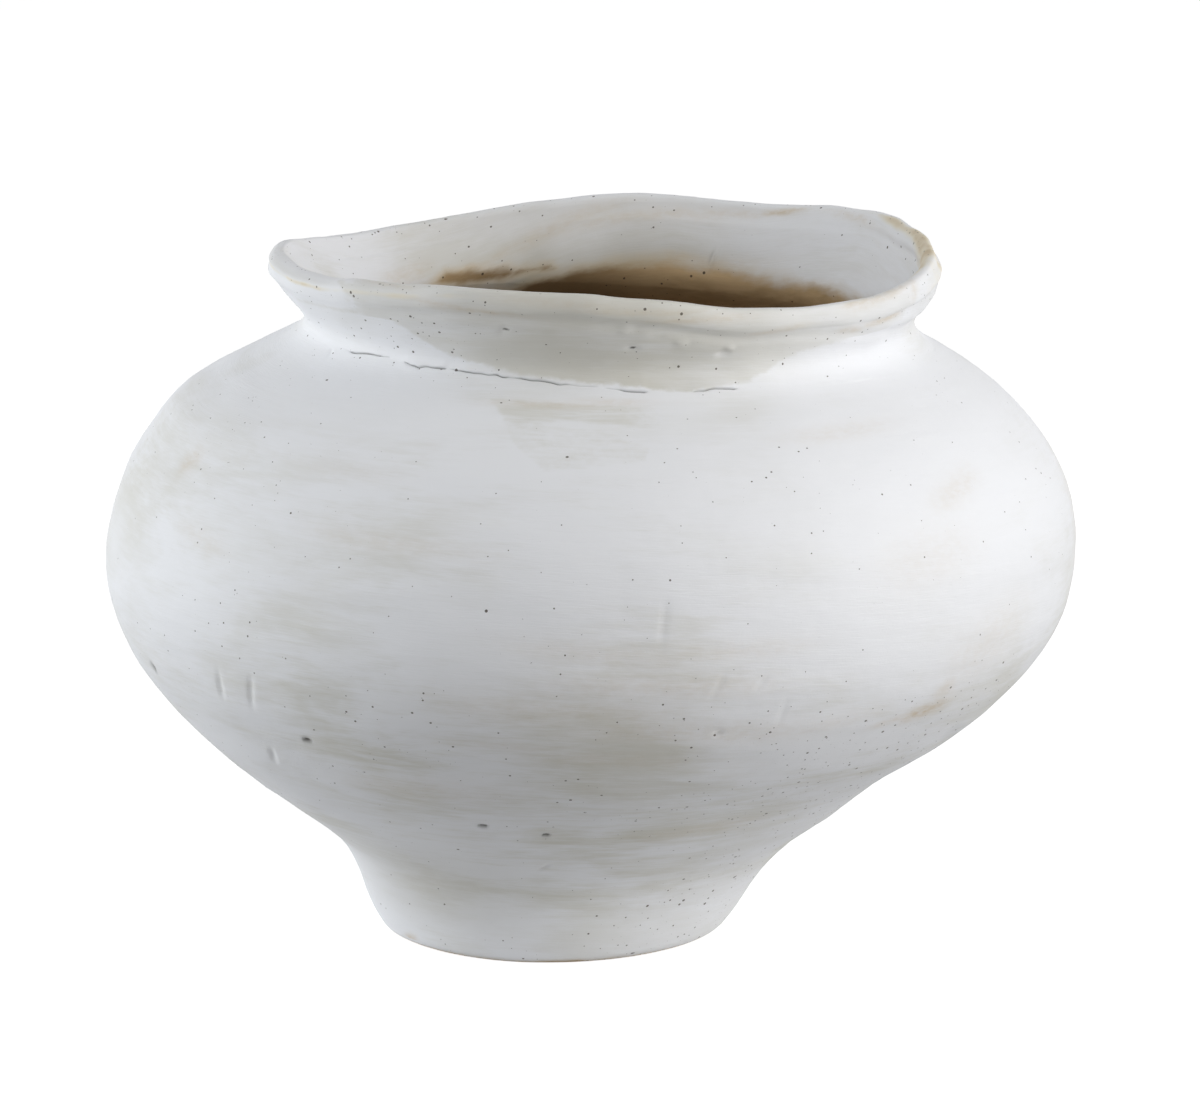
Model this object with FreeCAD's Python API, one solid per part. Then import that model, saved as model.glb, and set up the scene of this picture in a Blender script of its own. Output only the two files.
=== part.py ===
"""A wide-mouthed hand-built stoneware jar in the moon-jar manner, in millimetres.

The jar is put together the way a potter does it, and each lump of clay that is made by itself is one
solid. From the table up: a trimmed foot ring, a base dish whose edge is turned up, a stem wall, the
lower bowl, the upper bowl set on it rim to rim, a coil pressed over that seam on the inside, a flared
collar, and a lip coil rolled onto the collar's edge.

The origin is the centre of the face that the jar stands on, and +Z is up. +X is the side to which the
belly and the mouth lean.
"""

import FreeCAD
import Part
import math
import os
from FreeCAD import Vector

# Plan sizes: width is along X, depth along Y, measured over the outside.
FOOT_WIDTH = 155.0
FOOT_DEPTH = 156.0
BELLY_WIDTH = 449.0
BELLY_DEPTH = 438.0
NECK_WIDTH = 280.0
NECK_DEPTH = 276.5
MOUTH_WIDTH = 308.5
MOUTH_DEPTH = 304.5

# Heights above the table. The rim height is the mean of the wavy lip's top. The collar stands on the
# neck, the narrowest level, and its joint lies a little below that.
STEM_TOP = 64.0
BELLY_HEIGHT = 178.0
RIM_HEIGHT = 318.5
COLLAR_HEIGHT = 31.5
COLLAR_JOINT_DROP = 8.0

# How far each level's centre stands from the foot's centre, to the right and to the back.
BELLY_LEAN = 17.5
NECK_LEAN = 26.5
MOUTH_LEAN = 24.0
BELLY_SETBACK = 3.0
NECK_SETBACK = 0.5

# Thickness of the clay.
WALL = 9.5
FLOOR = 12.0
COVE_RADIUS = 12.0
FOOT_RING_HEIGHT = 6.0
FOOT_RING_BREADTH = 15.0
FOOT_EDGE_RADIUS = 3.5
LIP_THICKNESS = 10.5
LIP_HEIGHT = 13.0
LIP_SEAT_DROP = 4.0
SEAM_COIL_HEIGHT = 34.0
SEAM_COIL_PROUD = 4.0

# The unevenness of hand building: diagonal sway of the plan, and four waves of the rim's height, which
# have one to four crests each.
SWAY = 2.5
SWAY_TURN_DEG = 290.0
SWAY_START_DEG = 0.0
RIM_TILT = 1.2
RIM_TILT_PEAK_DEG = 0.0
RIM_SADDLE = 4.2
RIM_SADDLE_PEAK_DEG = 52.0
RIM_RIPPLE = 1.1
RIM_RIPPLE_PEAK_DEG = 13.0
RIM_PULL = 1.5
RIM_PULL_PEAK_DEG = -2.0
COLLAR_JOINT_TILT_DEG = 2.2

# The profile between the named levels. Each row is a level's share of the zone's height, its share of
# the zone's change in half width, and its share of the zone's change in lean.
LOWER_ZONE_SHARES = (
    (0.000, 0.000, 0.00),
    (0.112, 0.090, 0.14),
    (0.225, 0.174, 0.37),
    (0.337, 0.334, 0.55),
    (0.450, 0.511, 0.50),
    (0.562, 0.697, 0.73),
    (0.674, 0.835, 0.90),
    (0.787, 0.935, 0.98),
    (0.899, 0.987, 0.99),
    (1.000, 1.000, 1.00),
)
UPPER_ZONE_SHARES = (
    (0.202, 0.033, 0.15),
    (0.385, 0.118, 0.20),
    (0.569, 0.277, 0.16),
    (0.660, 0.381, 0.09),
    (0.752, 0.551, 0.34),
    (0.844, 0.762, 0.56),
    (0.917, 0.928, 0.72),
    (1.000, 1.000, 1.00),
)
COLLAR_ZONE_SHARES = (
    (0.250, 0.230, 0.20),
    (0.600, 0.670, 0.60),
    (1.000, 1.000, 1.00),
)

# Points along a quarter round, as shares of its quarter turn.
QUARTER_ROUND_SHARES = (0.0, 0.35, 0.7, 1.0)

# The seam coil's section: heights as shares of its half height from the seam, with how far the clay
# stands in at each as a share of the most. Minus shares lie in the wall and are cut away.
SEAM_COIL_SHARES = (
    (-1.5, -1.2),
    (-1.0, 0.2),
    (-0.6, 0.7),
    (0.0, 1.0),
    (0.6, 0.7),
    (1.0, 0.2),
    (1.5, -1.2),
)

# Working values of the method: points round a section, the point at which a cutting shape's sections
# start, so that its seam stays off the seam of what it cuts, and the overrun of cuts.
SECTION_POINTS = 16
TOOL_START = SECTION_POINTS // 4
OVERRUN = 20.0

NECK_HEIGHT = RIM_HEIGHT - COLLAR_HEIGHT
COLLAR_JOINT_HEIGHT = NECK_HEIGHT - COLLAR_JOINT_DROP
LIP_HALF = LIP_THICKNESS / 2
LIP_CENTRE_HEIGHT = RIM_HEIGHT - LIP_HEIGHT / 2
FLOOR_TOP = FOOT_RING_HEIGHT + FLOOR
DISH_TOP = FLOOR_TOP + COVE_RADIUS
REACH = BELLY_WIDTH + BELLY_DEPTH


def between(low, high, share):
    """The value a share of the way from low to high."""
    return low + (high - low) * share


def zone(shares, low, high):
    """Levels (height, half width, half depth, centre x, centre y) of one zone of the profile."""
    levels = []
    for height_share, spread_share, lean_share in shares:
        levels.append(
            (
                between(low[0], high[0], height_share),
                between(low[1], high[1], spread_share),
                between(low[2], high[2], spread_share),
                between(low[3], high[3], lean_share),
                between(low[4], high[4], lean_share),
            )
        )
    return levels


def outer_levels():
    """The outside of the clay, from below the table, where it is cut off, to the rim's mean height."""
    foot = (0.0, FOOT_WIDTH / 2, FOOT_DEPTH / 2, 0.0, 0.0)
    belly = (BELLY_HEIGHT, BELLY_WIDTH / 2, BELLY_DEPTH / 2, BELLY_LEAN, BELLY_SETBACK)
    neck = (NECK_HEIGHT, NECK_WIDTH / 2, NECK_DEPTH / 2, NECK_LEAN, NECK_SETBACK)
    wall_in_lip = (LIP_THICKNESS - WALL) / 2
    lip = (
        LIP_CENTRE_HEIGHT,
        MOUTH_WIDTH / 2 - wall_in_lip,
        MOUTH_DEPTH / 2 - wall_in_lip,
        MOUTH_LEAN,
        NECK_SETBACK,
    )
    above = (RIM_HEIGHT,) + lip[1:]
    lower = zone(LOWER_ZONE_SHARES, foot, belly)
    below = tuple(between(first, second, -1) for first, second in zip(lower[0], lower[1]))
    return (
        [below]
        + lower
        + zone(UPPER_ZONE_SHARES, belly, neck)
        + zone(COLLAR_ZONE_SHARES, neck, lip)
        + [above]
    )


def slope_at(levels, index):
    """How fast the half width grows with height at one level."""
    below = levels[max(index - 1, 0)]
    above = levels[min(index + 1, len(levels) - 1)]
    return (above[1] - below[1]) / (above[0] - below[0])


def level_at(levels, height):
    """A level at any height, in a straight line between its two neighbours."""
    for below, above in zip(levels, levels[1:]):
        if below[0] <= height <= above[0]:
            share = (height - below[0]) / (above[0] - below[0])
            return tuple(between(a, b, share) for a, b in zip(below, above))
    return levels[-1]


def inner_levels(levels):
    """The inside of the clay above the floor: each level moved in by the wall, square to the profile."""
    inside = []
    for index, (height, half_x, half_y, centre_x, centre_y) in enumerate(levels):
        slope = slope_at(levels, index)
        stretch = math.hypot(1, slope)
        inset = WALL / stretch
        rise = WALL * slope / stretch
        inside.append((height + rise, half_x - inset, half_y - inset, centre_x, centre_y))
    return inside


def quarter_round(level, radius):
    """Levels of a quarter round that lies flat at a radius below a level and stands upright at it."""
    height, half_x, half_y, centre_x, centre_y = level
    levels = []
    for share in QUARTER_ROUND_SHARES:
        turn = share * math.pi / 2
        inset = radius * (1 - math.sin(turn))
        drop = radius * math.cos(turn)
        levels.append((height - drop, half_x - inset, half_y - inset, centre_x, centre_y))
    return levels


def sway(angle, height):
    """How far the clay strays outward from a true ellipse, the same way round at every thickness."""
    turn = math.radians(SWAY_START_DEG + SWAY_TURN_DEG * height / RIM_HEIGHT)
    return SWAY * math.sin(2 * angle) * math.sin(turn)


def ring_points(level, inset=0.0, height_of=None):
    """Points round a level, moved in by inset. height_of gives a height for each angle."""
    height, half_x, half_y, centre_x, centre_y = level
    points = []
    for index in range(SECTION_POINTS):
        angle = math.tau * index / SECTION_POINTS
        out = sway(angle, height) - inset
        points.append(
            Vector(
                centre_x + (half_x + out) * math.cos(angle),
                centre_y + (half_y + out) * math.sin(angle),
                height_of(angle) if height_of else height,
            )
        )
    return points


def closed_curve(points, first=0):
    """A smooth closed wire through points, with the same spacing of its knots in every section."""
    points = points[first:] + points[:first]
    knots = [index / len(points) for index in range(len(points) + 1)]
    curve = Part.BSplineCurve()
    curve.interpolate(Points=points, PeriodicFlag=True, Parameters=knots)
    return Part.Wire([curve.toShape()])


def loft(levels, first=0):
    """A solid through the given levels."""
    return Part.makeLoft([closed_curve(ring_points(level), first) for level in levels], True)


def slab(low, high):
    """The space between two heights."""
    return Part.makeBox(2 * REACH, 2 * REACH, high - low, Vector(-REACH, -REACH, low))


def above_collar_joint():
    """The space above the collar's joint, which dips towards +X."""
    space = slab(COLLAR_JOINT_HEIGHT, COLLAR_JOINT_HEIGHT + REACH)
    pivot = Vector(NECK_LEAN, NECK_SETBACK, COLLAR_JOINT_HEIGHT)
    space.rotate(pivot, Vector(0, 1, 0), COLLAR_JOINT_TILT_DEG)
    return space


def rim_wave(angle):
    """How far the rim stands above its mean height at an angle."""
    tilt = RIM_TILT * math.cos(angle - math.radians(RIM_TILT_PEAK_DEG))
    saddle = RIM_SADDLE * math.cos(2 * (angle - math.radians(RIM_SADDLE_PEAK_DEG)))
    ripple = RIM_RIPPLE * math.cos(3 * (angle - math.radians(RIM_RIPPLE_PEAK_DEG)))
    pull = RIM_PULL * math.cos(4 * (angle - math.radians(RIM_PULL_PEAK_DEG)))
    return tilt + saddle + ripple + pull


def lip_level():
    """The lip's outside, at the height of the coil's centre."""
    return (LIP_CENTRE_HEIGHT, MOUTH_WIDTH / 2, MOUTH_DEPTH / 2, MOUTH_LEAN, NECK_SETBACK)


def above_lip_seat():
    """The space above the wavy surface on which the lip coil sits."""

    def seat_height(angle):
        return LIP_CENTRE_HEIGHT - LIP_SEAT_DROP + rim_wave(angle)

    inner = closed_curve(ring_points(lip_level(), LIP_THICKNESS + OVERRUN, seat_height), TOOL_START)
    outer = closed_curve(ring_points(lip_level(), -OVERRUN, seat_height), TOOL_START)
    seat = Part.makeRuledSurface(inner.Edges[0], outer.Edges[0])
    return seat.extrude(Vector(0, 0, LIP_HEIGHT + OVERRUN))


def coil(points, half_across, half_up):
    """A coil of oval section laid round a closed path, kept upright all the way."""
    path = closed_curve(points)
    start = path.Edges[0].firstVertex().Point
    ahead = path.Edges[0].tangentAt(path.Edges[0].FirstParameter)
    outward = Vector(ahead.y, -ahead.x, 0).normalize() * half_across
    upward = Vector(0, 0, half_up)
    minor, major = sorted((outward, upward), key=lambda axis: axis.Length)
    section = Part.Ellipse(start + major, start + minor, start)
    sweep = Part.BRepOffsetAPI.MakePipeShell(path)
    sweep.setBiNormalMode(Vector(0, 0, 1))
    sweep.add(Part.Wire([section.toShape()]))
    sweep.build()
    sweep.makeSolid()
    return sweep.shape()


def seam_coil(inside, cavity):
    """The clay pressed over the seam of the two bowls, thickest at the seam and thin at its edges."""
    half = SEAM_COIL_HEIGHT / 2
    core = []
    for height_share, proud_share in SEAM_COIL_SHARES:
        height, half_x, half_y, centre_x, centre_y = level_at(inside, BELLY_HEIGHT + half * height_share)
        inset = SEAM_COIL_PROUD * proud_share
        core.append((height, half_x - inset, half_y - inset, centre_x, centre_y))
    band = cavity.common(slab(BELLY_HEIGHT - half, BELLY_HEIGHT + half))
    return band.cut(loft(core, TOOL_START))


def foot_ring(body, foot):
    """The ring that the jar stands on, hollowed underneath with a slope and rounded at the table."""
    hollow = [
        closed_curve(ring_points(foot, FOOT_RING_BREADTH), TOOL_START),
        closed_curve(ring_points(foot, FOOT_RING_BREADTH + FOOT_RING_HEIGHT / 2), TOOL_START),
    ]
    hollow[1].translate(Vector(0, 0, FOOT_RING_HEIGHT))
    ring = body.common(slab(0.0, FOOT_RING_HEIGHT)).cut(Part.makeLoft(hollow, True))
    lowest = [edge for edge in ring.Edges if edge.BoundBox.ZMax < FOOT_RING_HEIGHT / 2]
    outer_edge = max(lowest, key=lambda edge: edge.BoundBox.XLength)
    return ring.makeFillet(FOOT_EDGE_RADIUS, [outer_edge])


def base_dish(body, inside):
    """The floor with its edge turned up, and a cove inside between the two."""
    top = level_at(inside, DISH_TOP)
    hollow = quarter_round(top, COVE_RADIUS) + [(DISH_TOP + COVE_RADIUS / 2,) + top[1:]]
    return body.common(slab(FOOT_RING_HEIGHT, DISH_TOP)).cut(loft(hollow))


def main():
    """Make every piece and write each to its own file."""
    levels = outer_levels()
    inside = inner_levels(levels)
    body = loft(levels)
    cavity = loft(inside)
    wall = body.cut(cavity)

    over_joint = above_collar_joint()
    over_seat = above_lip_seat()
    lip_path = ring_points(
        lip_level(), LIP_HALF, lambda angle: LIP_CENTRE_HEIGHT + rim_wave(angle)
    )

    pieces = {
        "foot_ring": foot_ring(body, level_at(levels, 0.0)),
        "base_dish": base_dish(body, inside),
        "stem_wall": wall.common(slab(DISH_TOP, STEM_TOP)),
        "lower_bowl": wall.common(slab(STEM_TOP, BELLY_HEIGHT)),
        "upper_bowl": wall.common(slab(BELLY_HEIGHT, RIM_HEIGHT)).cut(over_joint),
        "seam_coil": seam_coil(inside, cavity),
        "collar": wall.common(over_joint).cut(over_seat),
        "lip_coil": coil(lip_path, LIP_HALF, LIP_HEIGHT / 2).common(over_seat),
    }
    os.makedirs("parts", exist_ok=True)
    for name, shape in pieces.items():
        print(name, shape.ShapeType, len(shape.Solids), shape.isValid(), round(shape.Volume))
        shape.exportStep(f"parts/{name}.step")


main()
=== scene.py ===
"""The looks of a wide-mouthed hand-built stoneware jar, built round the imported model.

The jar's skin is one chain of rings that starts under the foot, runs up the outside, over the lip and
down the inside to the floor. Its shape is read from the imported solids, and the unevenness, marks and
cracks of hand building are added to it. Each piece takes its own rings out of the chain, so that
neighbours meet without a seam. Lengths are millimetres until a mesh is made.
"""

import math

import bpy
import numpy as np
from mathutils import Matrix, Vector
from mathutils.bvhtree import BVHTree


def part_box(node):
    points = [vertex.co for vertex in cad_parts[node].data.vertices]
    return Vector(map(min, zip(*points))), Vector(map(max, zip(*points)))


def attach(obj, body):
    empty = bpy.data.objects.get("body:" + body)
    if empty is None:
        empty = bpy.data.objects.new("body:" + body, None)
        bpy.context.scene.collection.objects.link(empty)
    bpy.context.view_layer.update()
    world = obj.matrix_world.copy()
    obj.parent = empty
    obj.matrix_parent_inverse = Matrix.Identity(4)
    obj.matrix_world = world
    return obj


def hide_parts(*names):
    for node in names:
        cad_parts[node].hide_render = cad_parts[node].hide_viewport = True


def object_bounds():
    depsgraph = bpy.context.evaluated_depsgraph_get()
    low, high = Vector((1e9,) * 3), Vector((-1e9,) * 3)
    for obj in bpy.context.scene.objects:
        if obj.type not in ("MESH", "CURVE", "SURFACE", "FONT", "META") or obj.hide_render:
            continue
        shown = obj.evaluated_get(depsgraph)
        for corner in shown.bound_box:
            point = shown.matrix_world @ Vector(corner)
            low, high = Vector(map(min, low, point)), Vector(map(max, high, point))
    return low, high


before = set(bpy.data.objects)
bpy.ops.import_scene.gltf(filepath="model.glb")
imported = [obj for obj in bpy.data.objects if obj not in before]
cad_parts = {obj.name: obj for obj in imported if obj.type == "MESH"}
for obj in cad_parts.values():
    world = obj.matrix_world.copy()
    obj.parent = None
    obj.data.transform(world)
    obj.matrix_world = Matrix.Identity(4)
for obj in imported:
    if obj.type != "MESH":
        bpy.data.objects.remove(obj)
CAD_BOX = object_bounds()

MM = 0.001
TURNS = 900
READ_TURNS = 120
READ_STEP = 2.0
WAVES = 8

# How the solids are read: the lowest heights, the rows added below and above what is read, the weights
# that smooth one row into the next, and how far above the rim the crown's rays start.
OUTER_READ_FROM = 5.0
INNER_READ_FROM = 33.0
ROWS_BELOW = 8
ROWS_ABOVE = 24
ROW_WEIGHTS = (1, 4, 6, 4, 1)
RAY_START = 100.0

# The photograph's frame and the camera that took it.
PHOTO_WIDTH = 1200
PHOTO_HEIGHT = 1099
FOCAL_PIXELS = 6836
CAMERA_PLACE = Vector((22.0, -3100.0, 825.0))
CAMERA_PITCH_DEG = 11.8
SENSOR_WIDTH = 36.0

# Spacing of the rings along the profile.
OUTER_STEP = 2.3
INNER_STEP = 7.0
FINE_STEP = 0.35
COLLAR_STEP = 1.0
FLOOR_STEP = 4.0

# The clay.
FOOT_RING_BREADTH = 15.0
FOOT_RING_HEIGHT = 6.0
FOOT_EDGE_RADIUS = 3.5
DISH_TOP = 30.0
STEM_TOP = 64.0
SEAM_HEIGHT = 178.0
SEAM_COIL_HEIGHT = 34.0
SEAM_COIL_PROUD = 4.0
COVE_RADIUS = 12.0
SEAT_DEPTH = 10.5
WALL_TOP_READ = 297.0

WALL_NODES = ("foot_ring", "base_dish", "stem_wall", "lower_bowl", "upper_bowl", "collar")


def apart(angle, other):
    """How far an angle is on from another, from minus to plus half a turn."""
    return (angle - other + math.pi) % math.tau - math.pi


def tree_of(names):
    """A tree for casting rays at several solids, in millimetres."""
    corners = []
    faces = []
    for name in names:
        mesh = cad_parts[name].data
        first = len(corners)
        corners += [vertex.co / MM for vertex in mesh.vertices]
        faces += [[first + index for index in face.vertices] for face in mesh.polygons]
    return BVHTree.FromPolygons(corners, faces)


WALLS = tree_of(WALL_NODES)
LIP = tree_of(["lip_coil"])
ANGLES = np.arange(TURNS) * (math.tau / TURNS)
READ_ANGLES = np.arange(READ_TURNS) * (math.tau / READ_TURNS)
OUTWARD = np.stack([np.cos(ANGLES), np.sin(ANGLES), 0 * ANGLES], 1)
lip_low, lip_high = (np.array(corner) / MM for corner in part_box("lip_coil"))
MOUTH_CENTRE = (lip_low + lip_high) / 2
MOUTH_RADIUS = ((lip_high - lip_low) / 2)[:2]
LIP_REACH = 5.25


def axis_at(height):
    """Where the middle of the jar is at a height: a line from the foot's centre to the mouth's."""
    share = np.asarray(height) / MOUTH_CENTRE[2]
    return MOUTH_CENTRE[0] * share, MOUTH_CENTRE[1] * share


def cast_radius(height, angle, outside):
    """How far the solids' surface stands from the axis, from outside or from inside."""
    centre_x, centre_y = axis_at(height)
    out = Vector((math.cos(angle), math.sin(angle), 0))
    centre = Vector((float(centre_x), float(centre_y), height))
    far = 2 * max(CAD_BOX[1] - CAD_BOX[0]) / MM
    if outside:
        return far - WALLS.ray_cast(centre + out * far, -out)[3]
    return WALLS.ray_cast(centre, out)[3]


def spline_weights(t):
    """What each of four neighbours counts for, at a share t of the way between the middle two."""
    return (
        -0.5 * t + t**2 - 0.5 * t**3,
        1 - 2.5 * t**2 + 1.5 * t**3,
        0.5 * t + 2 * t**2 - 1.5 * t**3,
        -0.5 * t**2 + 0.5 * t**3,
    )


class Shell:
    """A surface round the axis, kept as smooth waves of its radius at evenly spaced heights."""

    def __init__(self, low, high, outside):
        heights = np.arange(low, high, READ_STEP)
        radii = [[cast_radius(z, angle, outside) for angle in READ_ANGLES] for z in heights]
        waves = np.fft.rfft(radii, axis=1)[:, : WAVES + 1] / READ_TURNS
        waves[:, 1:] *= 2
        before = [waves[0] - (waves[1] - waves[0]) * count for count in range(ROWS_BELOW, 0, -1)]
        rise = (waves[-1] - waves[-3]) / 2
        after = [waves[-1] + rise * count for count in range(1, ROWS_ABOVE + 1)]
        waves = np.array(before + list(waves) + after)
        spread = np.array(ROW_WEIGHTS) / sum(ROW_WEIGHTS)
        self.waves = np.array([np.convolve(column, spread, "same") for column in waves.T]).T
        self.low = low - ROWS_BELOW * READ_STEP

    def radius(self, height, angle):
        """The radius at heights and angles, numbers or arrays."""
        place = (height - self.low) / READ_STEP
        row = np.clip(np.floor(place).astype(int), 1, len(self.waves) - 3)
        t = np.clip(place - row, 0, 1)
        weights = spline_weights(t)
        total = 0
        for wave in range(WAVES + 1):
            value = sum(w * self.waves[row + step - 1, wave] for step, w in enumerate(weights))
            total = total + (value * np.exp(1j * wave * angle)).real
        return total


OUTER = Shell(OUTER_READ_FROM, WALL_TOP_READ, True)
INNER = Shell(INNER_READ_FROM, WALL_TOP_READ, False)


def ring_wave(values):
    """Smooths one value for each read angle and gives it for every angle of the chain."""
    waves = np.fft.rfft(values)[: WAVES + 1] / len(values)
    waves[1:] *= 2
    return sum((waves[k] * np.exp(1j * k * ANGLES)).real for k in range(len(waves)))


def read_crown():
    """The height of the lip's crown round the mouth."""
    crown = []
    for angle in READ_ANGLES:
        x = MOUTH_CENTRE[0] + (MOUTH_RADIUS[0] - LIP_REACH) * math.cos(angle)
        y = MOUTH_CENTRE[1] + (MOUTH_RADIUS[1] - LIP_REACH) * math.sin(angle)
        hit = LIP.ray_cast(Vector((x, y, lip_high[2] + RAY_START)), Vector((0, 0, -1)))
        crown.append(hit[0].z)
    return ring_wave(crown)


def read_joint():
    """The height of the collar's joint round the neck: the upper bowl's highest points at each turn."""
    corners = np.array([vertex.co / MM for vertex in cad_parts["upper_bowl"].data.vertices])
    centre_x, centre_y = axis_at(corners[:, 2])
    turn = np.arctan2(corners[:, 1] - centre_y, corners[:, 0] - centre_x)
    heights = []
    for angle in READ_ANGLES:
        near = np.abs(apart(turn, angle)) < math.tau / READ_TURNS
        heights.append(corners[near, 2].max())
    return ring_wave(heights)


# Noise

NOISE_CELLS = 64


def lumps(points, size, seed):
    """Smooth noise from -1 to 1 whose lumps are about size across."""
    rng = np.random.default_rng(seed)
    table = rng.uniform(-1, 1, (NOISE_CELLS,) * 3)
    place = points / size + rng.uniform(0, NOISE_CELLS, 3)
    cell = np.floor(place).astype(int)
    share = place - cell
    share = share**3 * (share * (share * 6 - 15) + 10)
    total = 0
    for dx in (0, 1):
        for dy in (0, 1):
            for dz in (0, 1):
                weight = np.abs(1 - np.array((dx, dy, dz)) - share).prod(-1)
                x, y, z = (cell + (dx, dy, dz)).T % NOISE_CELLS
                total = total + weight * table[x, y, z].T
    return total


def uneven(points, table):
    """The sum of several sizes of lumps, each with its height, size and seed."""
    return sum(height * lumps(points, size, seed) for height, size, seed in table)


def fade(value, low, high):
    """0 below low, 1 above high and a soft step between."""
    share = np.clip((value - low) / (high - low), 0, 1)
    return share * share * (3 - 2 * share)


def around(angle, centre_deg, spread_deg):
    """1 at an angle, falling to 0 at spread on both sides of it."""
    away = np.abs(apart(angle, math.radians(centre_deg)))
    return 1 - fade(away, 0, math.radians(spread_deg))


def hump(value, middle, breadth):
    """1 where a value is at the middle, falling away softly on both sides."""
    return np.exp(-(((value - middle) / breadth) ** 2))


def swells(places):
    """The sum of changes round the mouth, each with its angle, spread and amount."""
    return sum(amount * around(ANGLES, centre, spread) for centre, spread, amount in places)


# The photograph's pixels on the jar


ALL = tree_of(list(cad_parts))


def sight(px, py, inside=False):
    """Where the photograph's pixel falls on the solids, or on the mouth's far wall, in millimetres."""
    pitch = math.radians(CAMERA_PITCH_DEG)
    across = (px - PHOTO_WIDTH / 2) / FOCAL_PIXELS
    up = (PHOTO_HEIGHT / 2 - py) / FOCAL_PIXELS
    forward = Vector((0, math.cos(pitch), -math.sin(pitch)))
    upward = Vector((0, math.sin(pitch), math.cos(pitch)))
    ray = (forward + upward * up + Vector((across, 0, 0))).normalized()
    start = (MOUTH_CENTRE[1] - CAMERA_PLACE.y) / ray.y if inside else 0.0
    return ALL.ray_cast(CAMERA_PLACE + ray * start, ray)[0]


def turn_of(point):
    """The angle of a point round the axis."""
    centre_x, centre_y = axis_at(point.z)
    return math.atan2(point.y - centre_y, point.x - centre_x)


# Shape of the rim and the joint

# Changes round the mouth, by angle, spread and amount: the rim's chance pulls, where the roll stays
# open, the wall's thinning, the lip's tucks and the full skirt.
CROWN_LIFTS = (
    (178, 36, 4), (88, 30, 0.9), (34, 24, 2.6), (345, 30, -0.5), (226, 30, 2.4), (264, 30, 2.2),
    (244, 14, 2.6), (293, 14, -0.8), (311, 16, 1),
)
ROLL = 1 - swells([(190, 75, 0.85)])
THINNING = 3.3 + swells([(185, 90, 0.6)])
TUCK = swells([(10, 45, 4.8), (178, 40, 2.6)])
SKIRT = swells([(352, 50, 1)])
RIM_RADIUS = 150.0
CROWN_DROP = 1.1
CROWN_LUMPS = ((0.45, 34, 11), (0.25, 15, 12))
RIM_POINTS = RIM_RADIUS * OUTWARD
CROWN = read_crown() - CROWN_DROP + uneven(RIM_POINTS, CROWN_LUMPS) + swells(CROWN_LIFTS)
PLAIN_JOINT = read_joint()
SEAT = CROWN - SEAT_DEPTH

# The lip's outline, out from the flare at its seat and up from the crown. One end of the rim is rolled
# over, the other only pressed flat.
ROLLED_LIP = (
    (0, -10.5), (1.2, -9.2), (2, -7), (2, -4.4), (1.3, -2), (0.2, -0.5),
    (-1.3, 0), (-2.7, -0.8), (-3.6, -2.6), (-4.3, -5), (-5.2, -7.8), (-6.2, -10.5),
)
PRESSED_LIP = (
    (0, -10.5), (1, -8.3), (2, -6.3), (2.9, -4.8), (3.1, -3.7), (2.1, -2.3),
    (0.4, -1), (-1.5, 0), (-2.4, -1), (-3.4, -3.8), (-4.8, -7.1), (-6.2, -10.5),
)
LIP_FINE = 4
# The tuck grows from the seat up to this height below the crown, and by this share towards the inside.
TUCK_FULL = -4.6
TUCK_INSIDE_SHARE = 0.4

# The crack at the collar's joint: the photograph's pixels along it, and the stretches that are open.
CRACK_LINE = (
    (350, 351), (390, 357), (419, 366), (447, 369), (481, 374), (511, 377), (559, 383), (605, 388),
    (647, 393), (665, 393), (692, 392), (716, 388), (736, 388),
)
CRACK_OPEN = ((350, 390), (406, 447), (451, 598), (605, 647), (692, 736))
CRACK_DEPTH = 1.1
CRACK_LIP = 0.32
# How far past the crack the joint is still drawn to it, and how soft an open stretch's ends are, in
# radians. Then how open it is: the middle, the swing and the least, with the lumps' size and seed.
CRACK_EASE = 0.25
CRACK_TIP = (0.005, 0.01)
CRACK_OPENNESS = (0.85, 0.8, 0.3)
CRACK_LUMPS = (6, 23)
JOINT_LUMPS = ((0.3, 8, 21), (0.25, 3.5, 22))


def crack():
    """The joint's height where the crack shows, and how far open it is, from 0 to 1."""
    hits = [sight(px, py) for px, py in CRACK_LINE]
    turns = np.array([turn_of(hit) % math.tau for hit in hits])
    heights = np.array([hit.z for hit in hits])
    above = heights - np.interp(turns, ANGLES, PLAIN_JOINT)
    left, right = turns[0], turns[-1]
    seen = np.interp(ANGLES, turns, above) * fade(ANGLES, left - CRACK_EASE, left)
    seen = seen * (1 - fade(ANGLES, right, right + CRACK_EASE))
    out, full = CRACK_TIP
    open_share = np.zeros(TURNS)
    for stretch in CRACK_OPEN:
        start, stop = (np.interp(px, [p[0] for p in CRACK_LINE], turns) for px in stretch)
        begun = fade(ANGLES, start - out, start + full)
        open_share = np.maximum(open_share, begun * (1 - fade(ANGLES, stop - full, stop + out)))
    middle, swing, least = CRACK_OPENNESS
    open_share *= np.clip(middle + swing * lumps(RIM_POINTS, *CRACK_LUMPS), least, 1)
    return PLAIN_JOINT + seen, open_share


JOINT, CRACKED = crack()
JOINT = JOINT + uneven(RIM_POINTS, JOINT_LUMPS)


# The chain of rings

# How fast the spacing grows away from a fine end, and how many points measure a band's profile.
SPACING_GROWTH = 0.22
PROFILE_POINTS = 400
# How many rings the foot's hollow, its flat face, its edge and the cove have.
HOLLOW_RINGS = 5
FLAT_RINGS = 7
EDGE_RINGS = 9
COVE_RINGS = 7
# Where the foot's edge is worn rounder: angle, spread and amount.
EDGE_WEAR = ((315, 60, 1.6), (225, 40, 0.8))


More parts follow.
